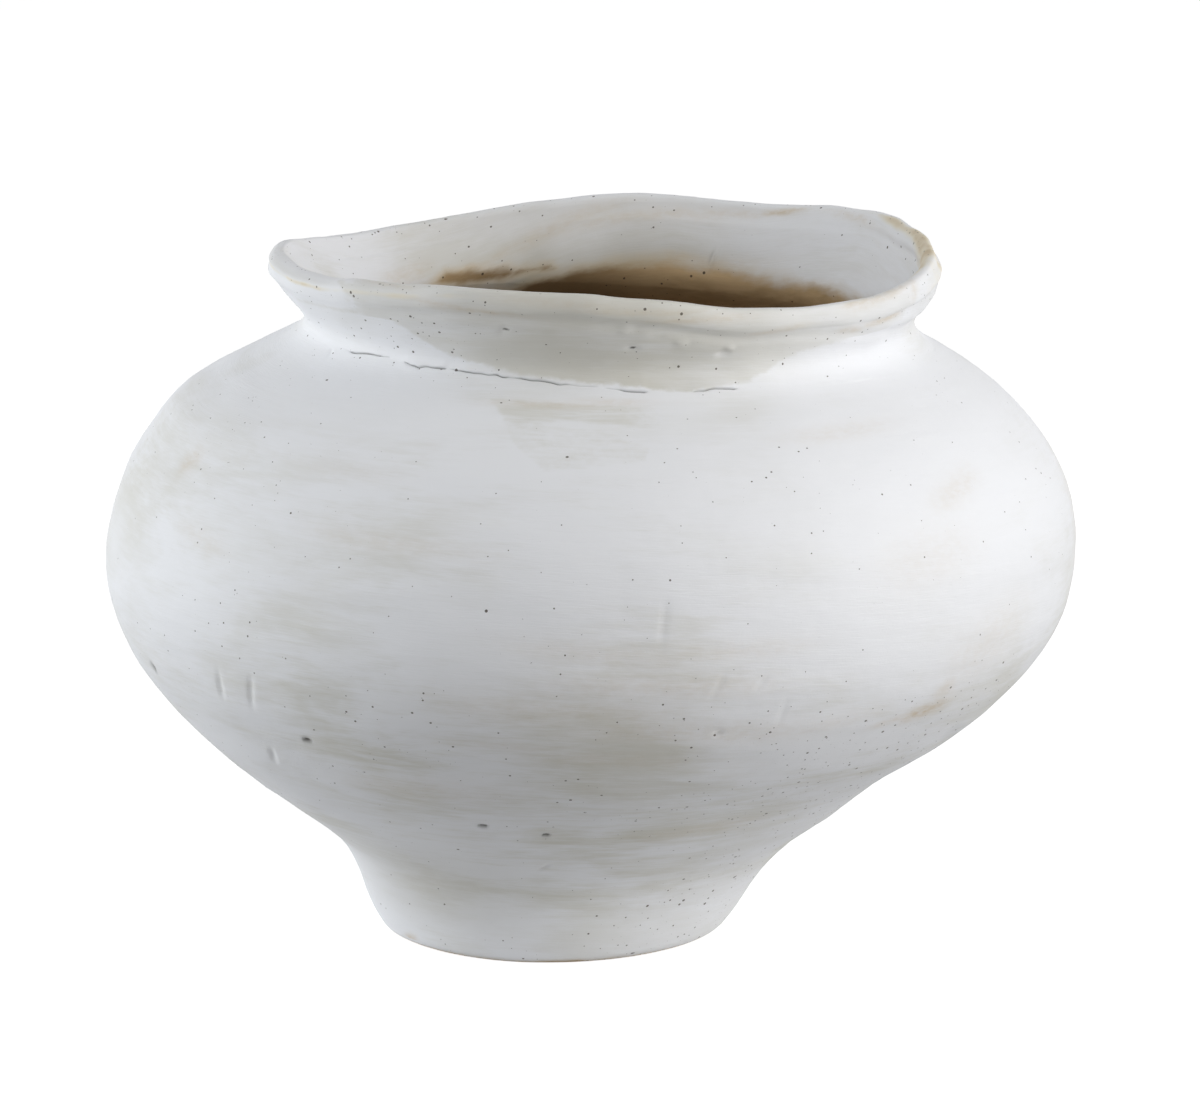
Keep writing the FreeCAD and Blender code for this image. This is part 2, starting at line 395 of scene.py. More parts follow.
def spaced(length, step, fine_start=False, fine_end=False):
    """Shares from 0 to 1 along a length, at about a step, or finer towards an end."""
    places = [0.0]
    while places[-1] < length:
        here = places[-1]
        pace = step
        if fine_start:
            pace = min(pace, FINE_STEP + SPACING_GROWTH * here)
        if fine_end:
            pace = min(pace, FINE_STEP + SPACING_GROWTH * max(length - here - FINE_STEP, 0))
        places.append(here + pace)
    return np.array(places) / places[-1]


def band(shell, low, high, step=OUTER_STEP, **ends):
    """Rings of a shell between two heights, each a number or one for every angle."""
    low, high = low + 0 * ANGLES, high + 0 * ANGLES
    shares = np.linspace(0, 1, PROFILE_POINTS)
    heights = low.mean() + (high.mean() - low.mean()) * shares
    radii = (shell.radius(heights, 0) + shell.radius(heights, math.pi)) / 2
    along = np.concatenate([[0], np.cumsum(np.hypot(np.diff(heights), np.diff(radii)))])
    picks = np.interp(spaced(along[-1], step, **ends) * along[-1], along, shares)
    z = low + (high - low) * picks[:, None]
    return on_axis(shell.radius(z, ANGLES), z)


def on_axis(radius, height):
    """Points at a radius from the axis, for arrays of rings by angles."""
    radius, height = np.broadcast_arrays(radius, height)
    centre_x, centre_y = axis_at(height)
    return np.stack([centre_x, centre_y, height], -1) + radius[..., None] * OUTWARD


def curve_through(points, fine):
    """A smooth line through outline points, with a number of steps between each two."""
    points = np.asarray(points, float)
    padded = np.concatenate([[2 * points[0] - points[1]], points, [2 * points[-1] - points[-2]]])
    line = []
    for first in range(len(points) - 1):
        for t in np.arange(fine) / fine:
            line.append(np.dot(spline_weights(t), padded[first : first + 4]))
    line.append(points[-1])
    return np.array(line)


def lip_rings():
    """Rings over the lip, from its outer seat to its inner one."""
    rolled = curve_through(ROLLED_LIP, LIP_FINE)
    pressed = curve_through(PRESSED_LIP, LIP_FINE)
    outline = pressed[:, None, :] + (rolled - pressed)[:, None, :] * ROLL[None, :, None]
    seat_radius = OUTER.radius(SEAT, ANGLES)
    wall = seat_radius - INNER.radius(SEAT, ANGLES) - THINNING
    plain_wall = -ROLLED_LIP[-1][0]
    inward = np.minimum(outline[..., 0], 0) / plain_wall
    out = np.where(outline[..., 0] < 0, inward * wall, outline[..., 0])
    tuck = TUCK * fade(outline[..., 1], -SEAT_DEPTH, TUCK_FULL)
    tuck = tuck * (1 + TUCK_INSIDE_SHARE * np.maximum(inward, -1))
    return on_axis(seat_radius + out - tuck, CROWN + outline[..., 1])


def thinned(rings):
    """The inside of the collar, moved out where the wall thins towards the rim."""
    share = fade(rings[..., 2], JOINT.mean(), SEAT.mean()) * THINNING
    return rings + share[..., None] * OUTWARD


foot_outer = OUTER.radius(0, ANGLES)
foot_inner = foot_outer - FOOT_RING_BREADTH
hollow_top = foot_inner - FOOT_RING_HEIGHT / 2


def disc(radius, height, step):
    """Rings from the middle out to a radius at one height."""
    count = max(3, round(radius.mean() / step))
    shares = np.linspace(1 / count / 4, 1, count)
    return on_axis(radius * shares[:, None], height)


def straight(first, last, count):
    """Rings in a straight line between two rings."""
    shares = np.linspace(0, 1, count)[:, None, None]
    return first + (last - first) * shares


def foot_edge():
    """Rings round the foot's lowest outer edge, from its flat face to its side."""
    turns = np.linspace(0, math.pi / 2, EDGE_RINGS)[:, None]
    size = FOOT_EDGE_RADIUS + swells(EDGE_WEAR)
    radius = foot_outer - size * (1 - np.sin(turns))
    side = OUTER.radius(size, ANGLES) - foot_outer
    return on_axis(radius + side * (1 - np.cos(turns)), size * (1 - np.cos(turns)))


def cove(inner_radius, top):
    """Rings of the quarter round between the wall and the floor."""
    turns = np.linspace(0, math.pi / 2, COVE_RINGS)[:, None]
    radius = inner_radius - COVE_RADIUS * (1 - np.cos(turns))
    return on_axis(radius, top - COVE_RADIUS * np.sin(turns))


inner_low = INNER.radius(DISH_TOP, ANGLES)
under = disc(hollow_top, FOOT_RING_HEIGHT, FLOOR_STEP)
foot_flat = on_axis(foot_inner, 0)[None]
edge = foot_edge()
SECTIONS = (
    ("under", under),
    ("hollow", straight(under[-1], foot_flat[0], HOLLOW_RINGS)),
    ("flat", straight(foot_flat[0], edge[0], FLAT_RINGS)),
    ("edge", edge),
    ("ring_side", band(OUTER, edge[-1, :, 2], FOOT_RING_HEIGHT)),
    ("dish_side", band(OUTER, FOOT_RING_HEIGHT, DISH_TOP)),
    ("stem_side", band(OUTER, DISH_TOP, STEM_TOP)),
    ("lower_side", band(OUTER, STEM_TOP, SEAM_HEIGHT)),
    ("upper_side", band(OUTER, SEAM_HEIGHT, JOINT, fine_end=True)),
    ("collar_side", band(OUTER, JOINT, SEAT, COLLAR_STEP, fine_start=True)),
    ("lip", lip_rings()),
    ("collar_in", thinned(band(INNER, JOINT, SEAT, COLLAR_STEP))[::-1]),
    ("upper_in", band(INNER, SEAM_HEIGHT, JOINT, INNER_STEP)[::-1]),
    ("lower_in", band(INNER, STEM_TOP, SEAM_HEIGHT, INNER_STEP)[::-1]),
    ("stem_in", band(INNER, DISH_TOP, STEM_TOP, INNER_STEP)[::-1]),
    ("cove", cove(inner_low, DISH_TOP)),
    ("floor", disc(inner_low - COVE_RADIUS, DISH_TOP - COVE_RADIUS, FLOOR_STEP)[::-1]),
)

SPAN = {}
rings = []
for name, section in SECTIONS:
    section = section if not rings else section[1:]
    start = len(rings) - 1 if rings else 0
    rings += list(section)
    SPAN[name] = (start, len(rings) - 1)
CHAIN = np.array(rings)


def unit(vectors):
    """Vectors of length one."""
    return vectors / np.maximum(np.linalg.norm(vectors, axis=-1, keepdims=True), 1e-12)


def normals_of(chain):
    """The outward direction at every point of the chain, from its neighbours."""
    along = np.gradient(chain, axis=0)
    round_ring = np.roll(chain, -1, 1) - np.roll(chain, 1, 1)
    normals = unit(np.cross(round_ring, along))
    normals[0] = (0, 0, -1)
    normals[-1] = (0, 0, 1)
    return normals


def flow_of(points, along):
    """Places on the skin: across from the axis, and a length along the profile."""
    centre_x, centre_y = axis_at(points[..., 2])
    return np.stack([points[..., 0] - centre_x, points[..., 1] - centre_y, along], -1)


step_lengths = np.linalg.norm(np.diff(CHAIN, axis=0), axis=-1)
ALONG = np.concatenate([np.zeros((1, TURNS)), np.cumsum(step_lengths, 0)])
ALONG = ALONG - ALONG[SPAN["flat"][1]]
FLOW = flow_of(CHAIN, ALONG)
RADIUS = np.hypot(FLOW[..., 0], FLOW[..., 1])
HEIGHT = CHAIN[..., 2]
ROWS = np.arange(len(CHAIN))[:, None] + 0 * ANGLES
LIP_ROW = SPAN["lip"][0]
ON_OUTSIDE = (ROWS >= SPAN["ring_side"][0]) & (ROWS <= LIP_ROW + LIP_FINE * 8)
CROWN_ROW = LIP_ROW + LIP_FINE * 6
ON_INSIDE = ROWS >= CROWN_ROW
# A signed distance for points that a mask can't reach.
FAR_OUTSIDE = -60.0


def place(px, py, inside=False):
    """A pixel of the photograph as an angle, a length along the chain and a radius."""
    hit = sight(px, py, inside)
    angle = turn_of(hit) % math.tau
    column = round(angle / math.tau * TURNS) % TURNS
    first, last = (CROWN_ROW, SPAN["lower_in"][1]) if inside else (SPAN["ring_side"][0], CROWN_ROW)
    row = first + np.linalg.norm(CHAIN[first:last, column] - np.array(hit), axis=-1).argmin()
    return angle, ALONG[row, column], RADIUS[row, column]


def sheet(centre):
    """Coordinates on the skin from a place: millimetres round the jar and along the chain."""
    angle, along, radius = centre
    return apart(ANGLES, angle) * radius + 0 * ALONG, ALONG - along


def mark(px, py, length, width, tilt_deg=0.0, inside=False):
    """How near each point is to a mark at a pixel, from 0 to 1, and its place across it in widths."""
    x, y = sheet(place(px, py, inside))
    tilt = math.radians(tilt_deg)
    run = x * math.cos(tilt) + y * math.sin(tilt)
    cross = -x * math.sin(tilt) + y * math.cos(tilt)
    near = np.exp(-(((2 * run / length) ** 2) ** 1.5) - (2 * cross / width) ** 2)
    return near * (ON_INSIDE if inside else ON_OUTSIDE), cross / width


def fenced(corners, inside=False):
    """Signed distance on the skin from a fence of photograph pixels, more than 0 inside it."""
    places = [place(px, py, inside) for px, py in corners]
    centre = np.mean(places, 0)
    x, y = sheet(centre)
    fence = [((p[0] - centre[0]) * centre[2], p[1] - centre[1]) for p in places]
    nearest = np.full(x.shape, 1e9)
    within = np.zeros(x.shape, bool)
    for (ax, ay), (bx, by) in zip(fence, fence[1:] + fence[:1]):
        ex, ey = bx - ax, by - ay
        share = np.clip(((x - ax) * ex + (y - ay) * ey) / (ex * ex + ey * ey), 0, 1)
        nearest = np.minimum(nearest, np.hypot(x - ax - share * ex, y - ay - share * ey))
        rises = (ay > y) != (by > y)
        within ^= rises & (x < (y - ay) / (ey or 1) * ex + ax)
    distance = np.where(within, nearest, -nearest)
    return np.where(ON_INSIDE if inside else ON_OUTSIDE, distance, FAR_OUTSIDE)


def region(share, at, *heights):
    """A share in a part of the skin: by angle and spread, if any, and heights where it begins or ends."""
    if at:
        share = share * around(ANGLES, *at)
    for span in heights:
        share = share * fade(HEIGHT, *span)
    return share


def ridge(row, share, breadth, at):
    """A share along a row of the chain, in the part of the rim given by angle and spread."""
    return share * hump(ROWS, row, breadth) * around(ANGLES, *at)


# Relief of hand building

# Dents and bumps: pixel x, pixel y, length, width and tilt in the skin, and depth or height.
DENTS = (
    (219, 683, 15, 3, 79, 0.9), (250, 692, 18, 2.8, 74, 0.8), (272, 755, 12, 3.4, 62, 0.8),
    (663, 624, 18, 3, 88, 0.45), (718, 685, 13, 2.6, 70, 0.4), (761, 681, 8, 3, 60, 0.4),
    (782, 713, 13, 2.4, 90, 0.35), (544, 868, 11, 2, 50, 0.8), (421, 813, 15, 2.4, 0, 0.35),
    (154, 669, 5, 2.6, 0, 1.1), (306, 740, 4, 2.4, 0, 1.1), (483, 825, 5, 2.4, 0, 1),
    (546, 834, 3, 2.2, 0, 0.9), (718, 732, 4, 2.2, 0, 0.8), (503, 329, 8, 4.5, 60, 0.7),
    (633, 348, 6, 3.5, 0, 0.7), (724, 352, 6, 3.5, 20, 0.9), (657, 335, 7, 5, 0, 0.4),
    (331, 352, 6, 2, -45, 0.5), (976, 513, 8, 2, 15, 0.4), (213, 366, 26, 14, 20, 0.8),
    (944, 738, 30, 16, -30, 0.7), (150, 430, 24, 14, 40, 0.7), (560, 352, 60, 12, 0, 0.5),
    (690, 356, 50, 12, 0, 0.6), (470, 340, 40, 10, -10, 0.4),
)
BUMPS = (
    (625, 327, 6, 7, 80, 0.9), (681, 343, 6, 4.5, 0, 0.6), (729, 349, 4, 3, 0, 0.6),
    (513, 322, 12, 5, 0, 0.5), (650, 333, 12, 4, 0, 0.4), (740, 366, 18, 6, 0, 0.4),
    (560, 384, 40, 5, -6, 0.3), (700, 395, 50, 6, 0, 0.4),
)
# Small dark pits: pixel x, pixel y, length and width.
PITS = (
    (154, 668, 4.2, 3.6), (306, 740, 4.2, 3), (483, 825, 3.8, 3), (546, 834, 3.2, 2.8),
    (506, 329, 2.2, 0.9), (633, 348, 2.2, 0.8),
)
# A curl of clay inside the mouth, given in the same way, and how sharp its edge is.
INNER_CURL = (711, 258, 8, 3.0, 84, 1.2)
CURL_SHARPNESS = 4
DENT_LEAN = 0.5
# The skin's unevenness, by height, size and seed: all over, drawn out round the jar as by a tool, fine,
# and on the collar. The foot has less of it.
BODY_LUMPS = ((0.75, 62, 1), (0.22, 27, 2))
TOOL_LUMPS = ((0.22, 11, 3), (0.10, 4.5, 4))
FINE_LUMPS = ((0.06, 5, 5),)
COLLAR_LUMPS = ((0.35, 9, 6),)
TOOL_DRAWN = (0.22, 0.22, 1)
COLLAR_DRAWN = (0.5, 0.5, 1)
FOOT_SHARE = 0.25
FOOT_HEIGHTS = (4, 22)
# The clay above the crack stands out: height and reach.
CRACK_BROW = (0.35, 5)
# The groove under the lip: distance below the crown, what the skirt adds to it, breadth and depth. The
# skirt under the lip's right end: distance below the crown, breadth and height.
GROOVE = (13.2, 10, 2.4, 1.3)
GROOVE_ROLL = (0.4, 0.9)
GROOVE_LUMPS = ((0.3, 40, 7),)
SKIRT_FORM = (17.5, 5.5, 2.4)
# The seam coil: its rings, the fingers' presses, how uneven and deep they are, and the fall to its edges.
COIL_RINGS = 19
COIL_PRESSES = 31
COIL_LUMPS = ((1.5, 30, 31),)
COIL_DENT = 0.28
COIL_FALL = 0.8


def relief():
    """How far every point of the chain stands out from the plain shape."""
    steady = fade(HEIGHT, *FOOT_HEIGHTS) * np.where(ROWS <= SPAN["edge"][1], 0, 1)
    total = uneven(CHAIN, BODY_LUMPS) + uneven(FLOW * TOOL_DRAWN, TOOL_LUMPS)
    total += uneven(CHAIN, FINE_LUMPS)
    total *= FOOT_SHARE + (1 - FOOT_SHARE) * steady
    in_collar = ON_OUTSIDE & (ROWS >= SPAN["collar_side"][0])
    total += np.where(in_collar, uneven(FLOW * COLLAR_DRAWN, COLLAR_LUMPS), 0)
    for *spot, depth in DENTS:
        near, cross = mark(*spot)
        total -= depth * near * (1 - DENT_LEAN * cross)
    for *spot, height in BUMPS:
        total += height * mark(*spot)[0]
    *spot, height = INNER_CURL
    near, cross = mark(*spot, inside=True)
    total += height * near * np.sign(cross) * np.minimum(np.abs(cross) * CURL_SHARPNESS, 1)

    from_joint = HEIGHT - JOINT
    total -= CRACK_DEPTH * CRACKED * hump(from_joint, 0, CRACK_LIP) * ON_OUTSIDE
    height, reach = CRACK_BROW
    total += height * CRACKED * np.where(from_joint > 0, hump(from_joint, 0, reach), 0) * ON_OUTSIDE

    drop = CROWN - HEIGHT
    below, further, breadth, depth = GROOVE
    groove = hump(drop, below + further * SKIRT, breadth) * ON_OUTSIDE
    total -= depth * groove * fade(ROLL, *GROOVE_ROLL) * (0.7 + uneven(FLOW, GROOVE_LUMPS))
    below, breadth, height = SKIRT_FORM
    total += height * SKIRT * hump(drop, below, breadth) * ON_OUTSIDE
    return total


def coil_rings():
    """The seam coil's rings, as pressed in with the fingers, and those of its back."""
    shares = np.linspace(-1, 1, COIL_RINGS)[:, None]
    height = SEAM_HEIGHT + SEAM_COIL_HEIGHT / 2 * shares
    back = INNER.radius(height, ANGLES)
    press = np.abs(np.sin(ANGLES * COIL_PRESSES + uneven(RIM_POINTS, COIL_LUMPS)))
    proud = SEAM_COIL_PROUD * (1 - COIL_FALL * shares**2) * (1 - COIL_DENT * (1 - press))
    return on_axis(back - proud, height), on_axis(back, height)


# Masks of the finish, one value for each point of the chain

# Outlines, edges and stains are in the photograph's pixels.
PATCH = (
    (491, 398), (540, 400), (651, 406), (700, 410), (696, 432), (640, 426), (560, 420), (523, 425),
    (505, 420),
)
PATCH_LOWER = (
    (496, 404), (523, 424), (600, 430), (648, 446), (645, 462), (580, 468), (545, 470), (515, 446),
)
# The patch fades out between these pixels across, on this row, from a depth to short of the edge.
PATCH_FADE = (600, 690)
PATCH_FADE_ROW = 415
PATCH_DEPTH = 2.0
PATCH_SHORT = -1.4
PATCH_LOWER_DEPTH = 0.1
WASH = (
    (340, 284), (388, 318), (437, 349), (455, 356), (520, 376), (600, 385), (690, 393), (748, 384),
    (800, 352), (900, 318), (912, 290), (870, 298), (780, 303), (700, 306), (600, 299), (480, 288),
    (400, 285),
)
WASH_ON_LIP = ((352, 290), (900, 285))
WASH_LIP_GAIN = 0.2
BARE_TONGUE = (
    (432, 284), (447, 271), (480, 269), (515, 268), (552, 265), (558, 268), (528, 274), (497, 282),
    (466, 285),
)
# Out of the photograph's sight the edge is given by turn and height.
BARE_UNSEEN = ((150, 280), (200, 278), (270, 280), (330, 284))
BARE_EDGE = (
    (503, 291), (528, 281), (558, 272), (590, 266), (620, 262), (645, 260), (668, 260), (709, 267),
    (745, 272), (784, 280), (828, 283), (852, 295),
)
# The wash fades out towards the right: turns on from this angle, and its share there.
WASH_FROM_DEG = 200
WASH_TURNS = (0.0, 0.26, 0.7, 0.95, 1.15, 1.45, 1.6, 1.75, 1.95, 2.4, 3.1)
WASH_SHARES = (0.3, 0.42, 0.6, 0.85, 1.0, 1.0, 0.82, 0.62, 0.42, 0.14, 0.0)
# Tan stains: pixel x, pixel y, length, width, tilt and strength.
STAINS = (
    (192, 460, 16, 12, 30, 0.35), (925, 710, 27, 9, 12, 0.8), (540, 405, 46, 5, 0, 0.3),
    (610, 404, 40, 5, 0, 0.25), (470, 299, 60, 4, -8, 0.4), (640, 312, 60, 3.5, -3, 0.3),
    (860, 301, 22, 3.5, 8, 0.5), (888, 292, 50, 5, 12, 0.4), (884, 318, 26, 4, 10, 0.55),
    (700, 320, 50, 4, 0, 0.35), (780, 330, 30, 4, 10, 0.35), (850, 331, 16, 4, 0, 0.4),
    (415, 944, 14, 5, 20, 0.6), (916, 284, 16, 8, 60, 0.3), (560, 712, 120, 16, 0, 0.16),
    (700, 735, 120, 14, 0, 0.2), (930, 560, 60, 26, 10, 0.13), (990, 640, 60, 30, 20, 0.16),
    (420, 790, 80, 20, 0, 0.14), (944, 690, 14, 12, 30, 0.3), (890, 722, 24, 5, 14, 0.35),
    (955, 488, 40, 12, 20, 0.22), (840, 432, 60, 10, 6, 0.16), (660, 690, 110, 12, 2, 0.2),
    (600, 655, 90, 10, -3, 0.15), (390, 545, 90, 9, -2, 0.14), (200, 540, 40, 9, -10, 0.16),
    (395, 293, 34, 5, -8, 0.22), (460, 299, 44, 6, -8, 0.25), (560, 304, 60, 5, -4, 0.2),
    (740, 650, 70, 9, 4, 0.16), (820, 725, 60, 10, 10, 0.16), (700, 830, 60, 14, 8, 0.2),
    (620, 760, 90, 12, 0, 0.16), (352, 470, 60, 10, 0, 0.08), (500, 745, 60, 8, 0, 0.14),
)
INNER_STAINS = (
    (452, 277, 32, 7, 5, 0.75), (560, 225, 60, 10, 8, 0.3), (640, 215, 90, 7, 0, 0.3),
    (480, 268, 50, 6, 10, 0.3), (780, 208, 24, 4, 0, 0.7), (730, 210, 40, 5, 0, 0.3),
    (700, 262, 70, 8, 0, 0.3), (408, 274, 34, 9, 0, 0.34), (850, 215, 40, 5, -10, 0.3),
)
# The slip's lower edge inside and every ragged edge: height, size and seed.
SLIP_EDGE_LUMPS = ((1.5, 24, 41), (0.8, 9, 42))
RAGGED_LUMPS = ((1.5, 7, 43),)
# Bare clay reaches this share of the way up the foot's edge, with this gain.
FOOT_BARE_SHARE = 0.45
FOOT_BARE_GAIN = 3
FAR_FROM_FOOT = -30.0
# The tongue of bare clay: how sharp its edge is and how far it grows past its pixels.
TONGUE_GAIN = 1.5
TONGUE_GROWTH = 1.2
# The veil inside the mouth, partly a thinner grey slip and partly painted shade deeper in the collar: its
# share, what the slip's edge adds, how far up, and place. Then painted shade on the lip's bevel: its
# share, breadth in rows and place; and painted shade low on the foot's left: its share and region.
VEIL_AND_SHADE_INSIDE = (0.38, 0.58, 10, (94, 60))
VEIL_AND_SHADE_LUMPS = ((0.3, 12, 81),)
VEIL_AND_SHADE_DRAWN = (0.4, 0.4, 1)
LIP_SHADE = (0.26, 5, (203, 34))
FOOT_SHADE = (0.3, (234, 44), (78, 40), (4, 30))
# Painted shade on the bare clay of the mouth's far wall: its share, place by angle and spread, and
# heights.
FAR_WALL_SHADE = (1, (103, 42), (236, 262))
# Worn edges: share, breadth in rows and place, outside and inside. The inside one dips, and one end of
# the lip is worn all over.
WORN_OUTSIDE = (0.6, 3.2, (212, 75))
WORN_INSIDE = (1.1, 5, (2, 50))
WORN_DIP = (4, (335, 40))
WORN_END = (0.6, (355, 25))
WORN_LUMPS = ((0.35, 14, 51),)
# How dark the crack is, how broad its dark line, and how dark the pits are.
CRACK_DARKNESS = 0.76
CRACK_LINE_BREADTH = 0.18
PIT_DARKNESS = 1.7
# Specks: their share all over, inside, low on the right and on the collar.
SPECKS_ALL = 0.34
SPECKS_INSIDE = 0.2
SPECKS_LOW = (0.6, (314, 50), (170, 125))
SPECKS_COLLAR = (0.35, None, (276, 284))
SPECK_LUMPS = ((0.3, 45, 61),)
# Brush streaks: their share all over, and what each region adds.
STREAKS_ALL = 0.32
STREAKS = (
    (0.26, None, (185, 120)), (0.18, None, (280, 290)), (0.42, (265, 60), (205, 150)),
    (-0.4, (318, 50), (205, 235)), (-0.4, (214, 34), (252, 264)),
    (-0.28, (215, 28), (78, 98), (150, 128)),
)
STREAK_LUMPS = ((0.26, 55, 71), (0.14, 24, 72))
STREAKS_AT_FOOT = (0.5, (45, 15))


def slip_edge():
    """How high above the slip's lower edge inside the jar each point is."""
    hits = [sight(px, py, True) for px, py in BARE_EDGE]
    turns = [turn_of(hit) for hit in hits] + [math.radians(turn) for turn, _ in BARE_UNSEEN]
    heights = [hit.z for hit in hits] + [height for _, height in BARE_UNSEEN]
    edge_height = np.interp(ANGLES, turns, heights, period=math.tau)
    return HEIGHT - edge_height - uneven(RIM_POINTS, SLIP_EDGE_LUMPS)


def bare_clay():
    """Signed distance into clay that the slip doesn't cover."""
    inside = -slip_edge()
    ragged = uneven(FLOW, RAGGED_LUMPS)
    below = (FOOT_EDGE_RADIUS * FOOT_BARE_SHARE - HEIGHT) * FOOT_BARE_GAIN + ragged
    tongue = TONGUE_GAIN * fenced(BARE_TONGUE, True) + TONGUE_GROWTH + ragged
    outside = np.where(ROWS <= SPAN["ring_side"][0], below, FAR_FROM_FOOT)
    return np.where(ON_INSIDE, np.maximum(inside, tongue), outside)


def veiled_with_shade():
    """How far the slip thins to an even grey, partly painted shade: inside most just above its lower
    edge, deeper in the collar's shade; also painted shade on the lip's bevel and low on the foot's left.
    """
    share, more, reach, at = VEIL_AND_SHADE_INSIDE
    total = share + more * hump(np.maximum(slip_edge(), 0), 0, reach)
    total = total * around(ANGLES, *at) * fade(ROWS, CROWN_ROW - 2, CROWN_ROW + 10)
    total *= 0.9 + uneven(FLOW * VEIL_AND_SHADE_DRAWN, VEIL_AND_SHADE_LUMPS)
    # Painted shade on the lip's bevel and low on the foot's left.
    total += ridge(CROWN_ROW - 6, *LIP_SHADE) + region(*FOOT_SHADE) * ON_OUTSIDE
    return np.clip(total, 0, 1)


def far_wall_shading():
    """How much painted shade darkens the bare clay, from 0 to 1: most on the mouth's far wall, where the
    inside lies in shade.
    """
    return region(*FAR_WALL_SHADE) * ON_INSIDE


def stains():
    """How much tan shows through the slip, from 0 to 1."""
    total = np.zeros(ALONG.shape)
    for table, inside in ((STAINS, False), (INNER_STAINS, True)):
        for *spot, strength in table:
            total = np.maximum(total, strength * mark(*spot, inside)[0])
    return total


def worn():
    """How far the slip is worn thin, on the lip's edges above all."""
    total = ridge(LIP_ROW + LIP_FINE * 3, *WORN_OUTSIDE)
    total += ridge(CROWN_ROW + 3 + region(*WORN_DIP), *WORN_INSIDE)
    total += region(*WORN_END) * ((ROWS > LIP_ROW) & (ROWS < SPAN["lip"][1]))
    return np.clip(total * (0.85 + uneven(FLOW, WORN_LUMPS)), 0, 1)


def darkened():
    """How dark the crack and the pits are, from 0 to 1."""
    total = CRACK_DARKNESS * CRACKED * hump(HEIGHT - JOINT, 0, CRACK_LINE_BREADTH) * ON_OUTSIDE
    for pit in PITS:
        total = np.maximum(total, PIT_DARKNESS * mark(*pit)[0])
    return np.minimum(total, 1)


def speckled():
    """How thickly the specks lie, from 0 to 1."""
    total = SPECKS_ALL + SPECKS_INSIDE * ON_INSIDE + region(*SPECKS_LOW)
    total += region(*SPECKS_COLLAR) * ON_OUTSIDE
    return np.clip(total + uneven(CHAIN, SPECK_LUMPS), 0, 1)


def washed_lip():
    """Signed distance into the part of the lip that the wash covers."""
    left, right = (turn_of(sight(px, py)) for px, py in WASH_ON_LIP)
    away = np.abs(apart(ANGLES, (left + right) / 2))
    within = ((right - left) / 2 - away) * MOUTH_RADIUS[0]
    on_lip = (ROWS >= LIP_ROW - 8) & (ROWS <= LIP_ROW + LIP_FINE * 7)
    return np.where(on_lip, WASH_LIP_GAIN * within, FAR_OUTSIDE)


def thinness():
    """How strongly brush streaks show in the slip, from 0 to 1."""
    total = STREAKS_ALL + sum(region(*where) for where in STREAKS)
    loss, heights = STREAKS_AT_FOOT
    total = np.clip(total + uneven(CHAIN, STREAK_LUMPS), 0.06, 1)
    return total * (1 - loss * fade(HEIGHT, *heights))


SKIN = CHAIN + normals_of(CHAIN) * relief()[..., None]
SKIN[..., 2] = np.where(ROWS <= SPAN["edge"][0], np.minimum(SKIN[..., 2], HEIGHT), SKIN[..., 2])
flat_rows = slice(SPAN["flat"][0], SPAN["flat"][1] + 1)
SKIN[flat_rows, :, 2] = 0.0


# Over how many millimetres points are eased back into the box.
BOX_EASE = 0.35


def kept_in_box(points):
    """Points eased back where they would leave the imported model's box."""
    low, high = (np.array(corner) / MM for corner in CAD_BOX)
    over = np.maximum(points - (high - BOX_EASE), 0)
    points = points - over + BOX_EASE * np.tanh(over / BOX_EASE)
    short = np.maximum(low + BOX_EASE - points, 0)
    eased = points + short - BOX_EASE * np.tanh(short / BOX_EASE)
    eased[..., 2] = np.maximum(points[..., 2], low[2])
    return eased


SKIN = kept_in_box(SKIN)
NORMALS = normals_of(SKIN)
patch_ends = [turn_of(sight(px, PATCH_FADE_ROW)) % math.tau for px in PATCH_FADE]
patch_depth = PATCH_DEPTH + (PATCH_SHORT - PATCH_DEPTH) * fade(ANGLES, *patch_ends)
patch_lower = np.minimum(fenced(PATCH_LOWER), PATCH_LOWER_DEPTH)
wash_turns = (ANGLES - math.radians(WASH_FROM_DEG)) % math.tau
MASKS = {
    "bare": bare_clay(),
    "veil_with_shade": veiled_with_shade(),
    "far_shade": far_wall_shading(),
    "patch": np.maximum(np.minimum(fenced(PATCH), patch_depth), patch_lower),
    "wash": np.maximum(fenced(WASH), washed_lip()),
    "wash_share": 0 * ALONG + np.interp(wash_turns, WASH_TURNS, WASH_SHARES),
    "stain": stains(),
    "worn": worn(),
    "specks": speckled(),
    "thin": thinness(),
    "crack": darkened(),
}


# Materials


def srgb(red, green, blue):
    """A colour given in the 0 to 255 of a picture, as the shader wants it."""
    shares = [channel / 255 for channel in (red, green, blue)]
    return [s / 12.92 if s <= 0.04045 else ((s + 0.055) / 1.055) ** 2.4 for s in shares] + [1.0]


THICK_SLIP = srgb(234, 235, 238)
THIN_SLIP = srgb(207, 205, 195)
WASH_SLIP = srgb(207, 205, 197)
CREAM = srgb(226, 218, 198)
TAN_CLAY = srgb(196, 176, 142)
BROWN_CLAY = srgb(200, 172, 132)
DARK_CLAY = srgb(168, 142, 104)
SPECK = srgb(66, 54, 42)
RUST = srgb(168, 118, 70)
# Grey of the thin slip inside the mouth, also used as painted shade.
VEIL_AND_SHADE_GREY = srgb(160, 155, 139)
# Bare clay darkened as painted shade.
SHADED_CLAY = srgb(114, 92, 62)
CRACK_DARK = srgb(60, 55, 48)


